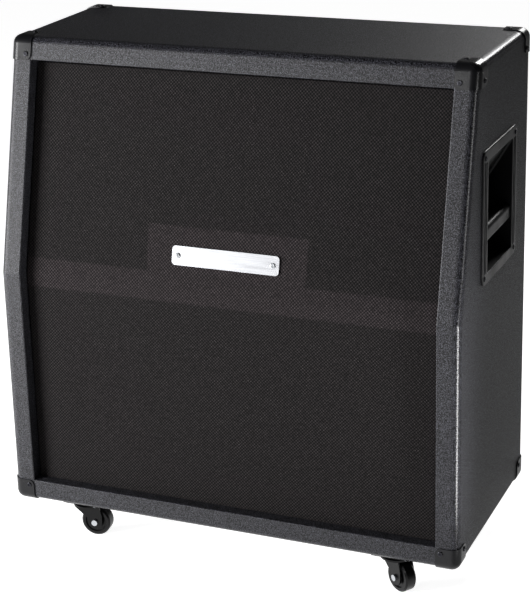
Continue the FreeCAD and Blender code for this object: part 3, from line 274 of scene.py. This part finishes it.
# %% [markdown]
# ## Enamel, powder coat and paint
# Caster forks, plates and speaker baskets are pressed steel, sprayed and baked. A baked coat flows before it sets, so
# it has a faint orange peel, and powder coat has a stronger one. The back panel and the boards inside are rolled with
# matt black paint, which keeps the roller's stipple. The speaker magnets are ferrite, ground to a dull grey. All are a
# dark colour under a bump, so one function makes them from the peel's size and height.

# %% Coated steel and painted board
PEEL_STRENGTH = 0.6
WEAR_SIZE_IN_PEELS = 20
WEAR_SPREAD = 0.05


def coated(name, dark, light, peel_mm, peel_height_mm, rough, level=0.5):
    material, tree, shader, place = finish(name, IOR=1.5, Specular_IOR_Level=level)
    peel = noise(tree, place, peel_mm, Detail=2.0)
    wear = noise(tree, place, WEAR_SIZE_IN_PEELS * peel_mm, Detail=3.0)
    feed(tree, shader, Base_Color=blend(tree, wear, linear(dark), linear(light)),
         Roughness=mapped(tree, wear, rough - WEAR_SPREAD, rough + WEAR_SPREAD, NOISE_LOW, NOISE_HIGH),
         Normal=raised(tree, peel, peel_height_mm, PEEL_STRENGTH))
    return material


finishes["caster_steel"] = coated("baked_caster_enamel", "#060607", "#0c0c0d", 2.5, 0.05, 0.24, level=0.2)
finishes["basket_steel"] = coated("baked_basket_enamel", "#141416", "#1d1d20", 3.0, 0.05, 0.35)
finishes["jack_plate"] = coated("powder_coated_plate", "#161618", "#202023", 1.0, 0.12, 0.5)
finishes["black_board"] = coated("rolled_matt_black_paint", "#141415", "#1d1d1e", 1.8, 0.15, 0.75)
finishes["ferrite"] = coated("ground_ferrite", "#26262a", "#333338", 1.2, 0.06, 0.55)
print("coated:", [material.name for material in list(finishes.values())[-5:]])

# %% [markdown]
# ## Rubber wheels and flex
# The caster wheels are hard black rubber, turned smooth on the tread and dull with floor dust. The leads inside have
# a soft PVC jacket. Both are nearly flat black, and a fine dust noise lifts them so that they don't read as holes.

# %% Rubber and PVC flex
DUST_MM = 4
DUST_SPREAD = 0.1


def dusty_rubber(name, dark, dust, rough):
    material, tree, shader, place = finish(name, IOR=1.52, Specular_IOR_Level=0.2)
    specks = noise(tree, place, DUST_MM, Detail=5.0, Roughness=0.7)
    feed(tree, shader, Base_Color=blend(tree, specks, linear(dark), linear(dust)),
         Roughness=mapped(tree, specks, rough - DUST_SPREAD, rough + DUST_SPREAD))
    return material


finishes["caster_wheel"] = dusty_rubber("turned_hard_rubber", "#060607", "#0e0e0f", 0.3)
finishes["lead"] = dusty_rubber("pvc_flex_jacket", "#131315", "#1f1f22", 0.5)
print("rubber:", finishes["caster_wheel"].name, finishes["lead"].name)

# %% [markdown]
# ## Plywood
# The box and its battens are birch plywood. Peeled veneer shows long, wavy year rings, so a wave pattern is stretched
# along the board and bent by noise. It is hidden by the vinyl, but a part that is taken apart has to look right too.
# The edge that meets the back panel was blacked with a brush, so that no pale wood shows in the joint.

# %% Birch plywood
RING_MM = 14
RING_STRETCH = (1.0, 0.15, 0.15)
BLACKED_FROM = 165 * MM


def birch_plywood():
    material, tree, shader, place = finish("rotary_cut_birch", IOR=1.5)
    along = add(tree, "ShaderNodeMapping", {"Vector": place, "Scale": RING_STRETCH}).outputs["Vector"]
    rings = add(tree, "ShaderNodeTexWave", {
        "Vector": along, "Scale": wave_scale(RING_MM), "Distortion": 6.0, "Detail": 3.0, "Detail Scale": 2.0,
    }).outputs["Fac"]
    veneer = blend(tree, rings, linear("#c9a877"), linear("#dcc195"))
    reach = add(tree, "ShaderNodeSeparateXYZ", {"Vector": place}).outputs["Y"]
    blacked = calc(tree, "GREATER_THAN", reach, BLACKED_FROM)
    feed(tree, shader, Base_Color=blend(tree, blacked, veneer, linear("#141415")),
         Roughness=mapped(tree, rings, 0.6, 0.72))
    return material


finishes["plywood"] = birch_plywood()
print("wood:", finishes["plywood"].name)

# %% [markdown]
# ## Cones and their suspension
# A cone is felted from dark pulp, so it is matt with short fibres in every direction. The edge and the spider are
# woven cotton, soaked in a dope that stays slightly sticky and shiny. Fibres come from a strongly detailed noise, and
# the weave from two crossed waves.

# %% Felted paper and doped cloth
FIBRE_MM = 1.5
FIBRE_HEIGHT_MM = 0.2
DOPED_THREAD_MM = 1.0
DOPED_HEIGHT_MM = 0.15
SOFT_STRENGTH = 0.7


def felted_paper():
    material, tree, shader, place = finish("felted_cone_paper", IOR=1.5)
    fibres = noise(tree, place, FIBRE_MM, Detail=6.0, Roughness=0.75, Distortion=2.0)
    feed(tree, shader, Base_Color=blend(tree, fibres, linear("#191714"), linear("#35312c")),
         Roughness=mapped(tree, fibres, 0.75, 0.95), Normal=raised(tree, fibres, FIBRE_HEIGHT_MM, SOFT_STRENGTH))
    return material


def doped_cotton():
    material, tree, shader, place = finish("doped_woven_cotton", IOR=1.5)
    sockets = {"Vector": place, "Scale": wave_scale(DOPED_THREAD_MM), "Distortion": 0.5}
    threads = [add(tree, "ShaderNodeTexWave", sockets, bands_direction=way).outputs["Fac"] for way in ("X", "Z")]
    weave = calc(tree, "MULTIPLY", *threads)
    feed(tree, shader, Base_Color=blend(tree, weave, linear("#1a1612"), linear("#3a3129")),
         Roughness=mapped(tree, weave, 0.35, 0.55), Normal=raised(tree, weave, DOPED_HEIGHT_MM, SOFT_STRENGTH))
    return material


finishes["cone_paper"] = felted_paper()
finishes["doped_cloth"] = doped_cotton()
print("speaker softs:", finishes["cone_paper"].name, finishes["doped_cloth"].name)

# %% [markdown]
# ## Give every piece its finish
# The record that came with the model says which material slot each solid belongs to, so the finishes are handed out
# by that list. The grille cloth's solid is left out here, because a new piece stands for it.

# %% Hand out the finishes
dressed = 0
for piece in frame["record"]["subparts"]:
    if piece["node"] != "grille_cloth":
        materials = frame["nodes"][piece["node"]].data.materials
        materials.clear()
        materials.append(finishes[piece["material_slot"]])
        dressed += 1
print("dressed", dressed, "of", len(frame["nodes"]), "pieces")

# %% [markdown]
# ## Where the front bends
# The front is upright below the knee and leans back above it. A point on it is given by its distance along the face,
# counted from the knee, and by its depth behind the vinyl's face. The cloth is laid out with this, so it sits exactly
# where its solid does.

# %% Places on the bent front
FRONT_Y = -184 * MM
KNEE_Z = 460 * MM
# Above the knee the front goes back 88 mm while it rises 366 mm
SLOPE = 88 / 366
STRETCH = math.hypot(1, SLOPE)


def on_front(x, along, depth):
    if along < 0:
        return Vector((x, FRONT_Y + depth, KNEE_Z + along - depth * SLOPE / (STRETCH + 1)))
    return Vector((x, FRONT_Y + (along * SLOPE + depth) / STRETCH,
                   KNEE_Z + (along - depth * SLOPE) / STRETCH))


print("knee at", [round(v, 4) for v in on_front(0, 0, 0)], "m")

# %% [markdown]
# ## Grille cloth
# The cloth is one piece, pulled over a wooden frame and stapled behind it. It could be simulated, but a cloth that is
# pulled tight has a simple shape: flat, bent once at the knee, folded round the frame's edge, and hollow by about a
# millimetre where no bar lies behind it. Each of those rules is a short function.

# %% Rules for a cloth that is pulled tight
CLOTH_DEPTH = 19.5 * MM
CLOTH_THICK = 0.8 * MM
HALF_WIDTH = 344 * MM
LOW_EDGE = -357 * MM
HIGH_EDGE = 339.4 * MM
FOLD_BACK = 12.8 * MM
FOLD_RADIUS = 2.5 * MM
FOLD_STEPS = 4
BAR = 32 * MM
CROSSBAR = 23 * MM
BOARD_HALF = 132.5 * MM
BOARD_REACH = 97 * MM
HOLLOW = 1.0 * MM
HOLLOW_SPAN = 90 * MM
CELL = 10 * MM


def stops(low, high):
    """Grid lines from low to high, close together in the folds at both ends."""
    turn = FOLD_RADIUS * math.pi / 2
    near = [turn * step / FOLD_STEPS for step in range(FOLD_STEPS + 1)]
    start, stop = low + FOLD_RADIUS, high - FOLD_RADIUS
    count = round((stop - start) / CELL)
    inner = [start + (stop - start) * step / count for step in range(1, count)]
    tail = turn + FOLD_BACK - FOLD_RADIUS
    return ([start - tail] + [start - step for step in reversed(near)] + inner
            + [stop + step for step in near] + [stop + tail])


def fold(place, low, high):
    """Where a point of the flat cloth ends up: along the face, and how far behind it."""
    start, stop = low + FOLD_RADIUS, high - FOLD_RADIUS
    over = max(start - place, place - stop, 0)
    if over == 0:
        return place, 0
    angle = min(over / FOLD_RADIUS, math.pi / 2)
    out = FOLD_RADIUS * math.sin(angle)
    back = FOLD_RADIUS * (1 - math.cos(angle)) + max(over - FOLD_RADIUS * math.pi / 2, 0)
    return (stop + out if place > stop else start - out), back


def hollow(x, along):
    """How far the cloth sinks between the bars that carry it."""
    to_rim = min(HALF_WIDTH - BAR - abs(x), along - LOW_EDGE - BAR, HIGH_EDGE - BAR - along)
    to_bar = abs(along) - CROSSBAR
    to_board = max(abs(x) - BOARD_HALF, along - BOARD_REACH) if along > 0 else to_bar
    share = max(0, min(1, min(to_rim, to_bar, to_board) / HOLLOW_SPAN))
    return HOLLOW * share * share * (3 - 2 * share)


print("deepest hollow:", HOLLOW / MM, "mm")

# %% [markdown]
# ### Cut and lay the sheet
# The sheet is a grid whose points are worked out from those rules. Its corner squares are cut away, as an upholsterer
# would, so that the folds don't pile up. A modifier then gives it the thickness of the yarn.

# %% Lay out the cloth


def put(name, data):
    """Make an object of the data and add it to the scene."""
    thing = bpy.data.objects.new(name, data)
    scene.collection.objects.link(thing)
    return thing


across = stops(-HALF_WIDTH, HALF_WIDTH)
upward = stops(LOW_EDGE, HIGH_EDGE)
points = []
for v in upward:
    for u in across:
        x, side_back = fold(u, -HALF_WIDTH, HALF_WIDTH)
        along, end_back = fold(v, LOW_EDGE, HIGH_EDGE)
        points.append(on_front(x, along, CLOTH_DEPTH + side_back + end_back + hollow(x, along)))
faces = []
last_u, last_v = len(across) - 2, len(upward) - 2
for row in range(len(upward) - 1):
    for column in range(len(across) - 1):
        if row in (0, last_v) and column in (0, last_u):
            continue
        first = row * len(across) + column
        faces.append((first, first + 1, first + 1 + len(across), first + len(across)))
mesh = bpy.data.meshes.new("grille_cloth_sheet")
mesh.from_pydata(points, [], faces)
mesh.validate()
mesh.shade_smooth()
cloth = put("grille_cloth_sheet", mesh)
thick = cloth.modifiers.new("thickness", "SOLIDIFY")
thick.thickness = CLOTH_THICK
thick.offset = -1

# %% [markdown]
# ## The cloth's weave
# Grille cloth is woven from black plastic-coated yarn, two over and two under, with small gaps for the sound. Up
# close it is a diagonal chequer of yarn tops. The sheet is opaque, so what shows through the gaps is painted into
# its colour: the gaps are painted near black, partly the black baffle and partly painted shade in the hollow behind.
# Where a bar of the frame lies right behind the cloth, light comes back off the bar through the gaps. That is
# painted light: a pale band at the knee and a pale patch behind the nameplate, with the yarn tops painted lighter
# there too. A chequer is the product of two sine waves, one along each yarn. The yarn is drawn a little coarser than
# it is, so that it shows.

# %% Woven grille cloth
YARN_MM = 2.7
YARN_HEIGHT_MM = 0.3
# The chequer's value at which the yarn's side ends in the gap
YARN_FOOT = -0.4
SLUB_MM = 5
BOARD_TOP = KNEE_Z + BOARD_REACH / STRETCH
BAND_EDGE = 2 * MM


def up_to(tree, distance, reach):
    """1 as far as the reach and 0 beyond it, with a soft edge."""
    return mapped(tree, distance, 1, 0, reach - BAND_EDGE, reach + BAND_EDGE)


def woven_cloth():
    material, tree, shader, place = finish("woven_grille_cloth", IOR=1.5, Specular_IOR_Level=0.1, Roughness=0.8)
    axes = add(tree, "ShaderNodeSeparateXYZ", {"Vector": place}).outputs
    waves = [calc(tree, "SINE", calc(tree, "MULTIPLY", axes[axis], math.pi * per_metre(YARN_MM)))
             for axis in ("X", "Z")]
    yarn = mapped(tree, calc(tree, "MULTIPLY", *waves), 0, 1, YARN_FOOT, 1)
    uneven = calc(tree, "MULTIPLY", yarn, noise(tree, place, SLUB_MM, Detail=3.0))
    # Painted shade: gaps near black over the open field, partly the black baffle and partly shade in the hollow behind
    open_tone = blend(tree, uneven, linear("#020202"), linear("#464142"))
    # Painted light: gaps and yarn tops lighter where a bar of the frame lies behind the cloth
    bar_lit_tone = blend(tree, uneven, linear("#0e0c0d"), linear("#574f51"))
    # Painted light mask: a band round the knee's crossbar, and a patch over the board behind the nameplate
    from_knee = calc(tree, "ABSOLUTE", calc(tree, "ADD", axes["Z"], -KNEE_Z))
    inside = up_to(tree, calc(tree, "ABSOLUTE", axes["X"]), BOARD_HALF)
    board = calc(tree, "MULTIPLY", inside, up_to(tree, axes["Z"], BOARD_TOP))
    board = calc(tree, "MULTIPLY", board, calc(tree, "GREATER_THAN", axes["Z"], KNEE_Z))
    painted_bar_light = calc(tree, "MAXIMUM", up_to(tree, from_knee, CROSSBAR), board)
    feed(tree, shader, Base_Color=blend(tree, painted_bar_light, open_tone, bar_lit_tone),
         Normal=raised(tree, yarn, YARN_HEIGHT_MM, SOFT_STRENGTH))
    return material


cloth.data.materials.append(woven_cloth())
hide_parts("grille_cloth")
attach(cloth, "cabinet")
print("weave:", round(per_metre(2 * YARN_MM) / 100, 1), "repeats to the centimetre")

# %% [markdown]
# ## Camera
# The picture was taken from the front right and a little above, with a fairly long lens. The lens is worked out from
# the picture's scale: its focal length in pixels, times the sensor's 36 mm, over the 592 pixels of the long side. A
# small downward shift stands for the way the photographer kept the upright edges upright.

# %% Set up the camera
LONG_SIDE = 592
FOCAL_PX = 1802.5
SHIFT_PX = -56
SENSOR_MM = 36
CAMERA_PLACE = (1.079, -2.519, 1.390)
AZIMUTH, ELEVATION, ROLL = math.radians(23.16), math.radians(18.06), math.radians(-1.53)
camera_data = bpy.data.cameras.new("camera")
camera_data.sensor_width = SENSOR_MM
camera_data.lens = FOCAL_PX * SENSOR_MM / LONG_SIDE
camera_data.shift_y = SHIFT_PX / LONG_SIDE
camera = put("camera", camera_data)
camera.location = CAMERA_PLACE
forward = Vector((-math.sin(AZIMUTH) * math.cos(ELEVATION), math.cos(AZIMUTH) * math.cos(ELEVATION),
                  -math.sin(ELEVATION)))
camera.rotation_mode = "QUATERNION"
camera.rotation_quaternion = forward.to_track_quat("-Z", "Y") @ Quaternion((0, 0, 1), ROLL)
scene.camera = camera
print("lens", round(camera_data.lens, 1), "mm")

# %% [markdown]
# ## Floor
# The cabinet stands on a plain pale floor that runs out to white. What the camera and the reflections see is mostly a
# white of strength 1, and the rest is the floor as the lamps light it, so the cabinet still drops a soft shadow. For
# all other rays it is an ordinary matt floor, which keeps the light on the cabinet at a plain level. In reflections
# the white fades to the right, as where a paper roll ends, so that the cabinet's side has a dim floor to mirror. Far
# away the floor turns up into a low wall, which hides the dim room from a camera that looks along the floor.

# %% Lay the floor
FLOOR_SIZE = 60
WALL_HEIGHT = 2.5
WHITE_SHARE = 0.92
DIM_SHARE = 0.09
FADE_FROM, FADE_TO = 0.37, 0.46
half = FLOOR_SIZE / 2
corners = [(-half, -half), (half, -half), (half, half), (-half, half)]
walls = [(side, (side + 1) % 4, (side + 1) % 4 + 4, side + 4) for side in range(4)]
floor_mesh = bpy.data.meshes.new("studio_floor")
floor_mesh.from_pydata([(x, y, z) for z in (0, WALL_HEIGHT) for x, y in corners], [], [(0, 1, 2, 3)] + walls)
floor = put("studio_floor", floor_mesh)
print("floor", FLOOR_SIZE, "m square")

# %% [markdown]
# ### The floor's white
# The white is light that the floor gives off, added to its matt paint. How much of it a ray meets depends on the kind
# of ray: all of it for the camera, the faded white for reflections, and none for the light that falls on the cabinet.

# %% Paint the floor
floor_material = bpy.data.materials.new("pale_studio_floor")
floor_material.use_nodes = True
tree = floor_material.node_tree
tree.nodes.clear()
rays = add(tree, "ShaderNodeLightPath").outputs
mirrored = calc(tree, "MAXIMUM", rays["Is Glossy Ray"], rays["Is Transmission Ray"])
place = add(tree, "ShaderNodeTexCoord").outputs["Object"]
ground = add(tree, "ShaderNodeSeparateXYZ", {"Vector": place}).outputs
fade = mapped(tree, ground["X"], WHITE_SHARE, DIM_SHARE, FADE_FROM, FADE_TO)
glow = calc(tree, "MULTIPLY_ADD", rays["Is Camera Ray"], WHITE_SHARE, calc(tree, "MULTIPLY", mirrored, fade))
paint = add(tree, "ShaderNodeBsdfDiffuse", {"Color": linear("#e6e6e6")}).outputs[0]
white = add(tree, "ShaderNodeEmission", {"Color": linear("#ffffff"), "Strength": glow}).outputs[0]
mixed = add(tree, "ShaderNodeAddShader", {0: paint, 1: white}).outputs[0]
add(tree, "ShaderNodeOutputMaterial", {"Surface": mixed})
floor_mesh.materials.append(floor_material)
print("the floor's white fades from", FADE_FROM, "to", FADE_TO, "m on the right")

# %% [markdown]
# ## Studio light
# A black object is drawn by what it reflects. A large softbox to the front left gives the front its soft grey, and a
# small one beside the camera puts a sheen on the right-hand corners. One behind the cabinet lights the right end of
# the top and draws the bright line along its edge. Two narrow strips with a grid stand close on the right, and draw
# the line down the upright edge without washing over the side. The upper one is weak, because above the knee the line
# is faint. Nothing hangs overhead, so the top's left end stays dark. The lamps don't show to the camera.

# %% Place the lamps
NO_GRID, GRID = 180, 40
ROOM_LIGHT = 0.045


def softbox(name, place, target, width, height, radiance, spread=NO_GRID):
    """A lamp that looks equally bright at any size."""
    lamp = bpy.data.lights.new(name, "AREA")
    lamp.shape = "RECTANGLE"
    lamp.size, lamp.size_y = width, height
    lamp.energy = radiance * math.pi * width * height
    lamp.spread = math.radians(spread)
    box = put(name, lamp)
    box.location = place
    box.rotation_mode = "QUATERNION"
    box.rotation_quaternion = (Vector(target) - Vector(place)).to_track_quat("-Z", "Y")
    box.visible_camera = False
    return box


lamps = [
    softbox("key_front_left", (-2.6, -2.2, 0.62), (0, 0, 0.45), 1.5, 1.1, 40.0),
    softbox("fill_front", (-0.48, -3.1, 1.5), (0.3, -0.1, 0.8), 0.6, 0.6, 7.0),
    softbox("rim_back_right", (0.5, 2.0, 1.85), (0.38, 0.05, 0.82), 0.6, 0.7, 20.0),
    softbox("edge_right_low", (0.7, -0.28, 0.22), (0.38, -0.184, 0.33), 0.08, 0.4, 2.7, GRID),
    softbox("edge_right_high", (0.7, -0.2, 0.66), (0.38, -0.13, 0.66), 0.08, 0.34, 0.4, GRID),
]
world = bpy.data.worlds.new("studio_room")
world.use_nodes = True
background = world.node_tree.nodes["Background"]
background.inputs["Color"].default_value = linear("#ffffff")
background.inputs["Strength"].default_value = ROOM_LIGHT
scene.world = world
scene.view_settings.view_transform = "Standard"
print("lamps:", [lamp.name for lamp in lamps])
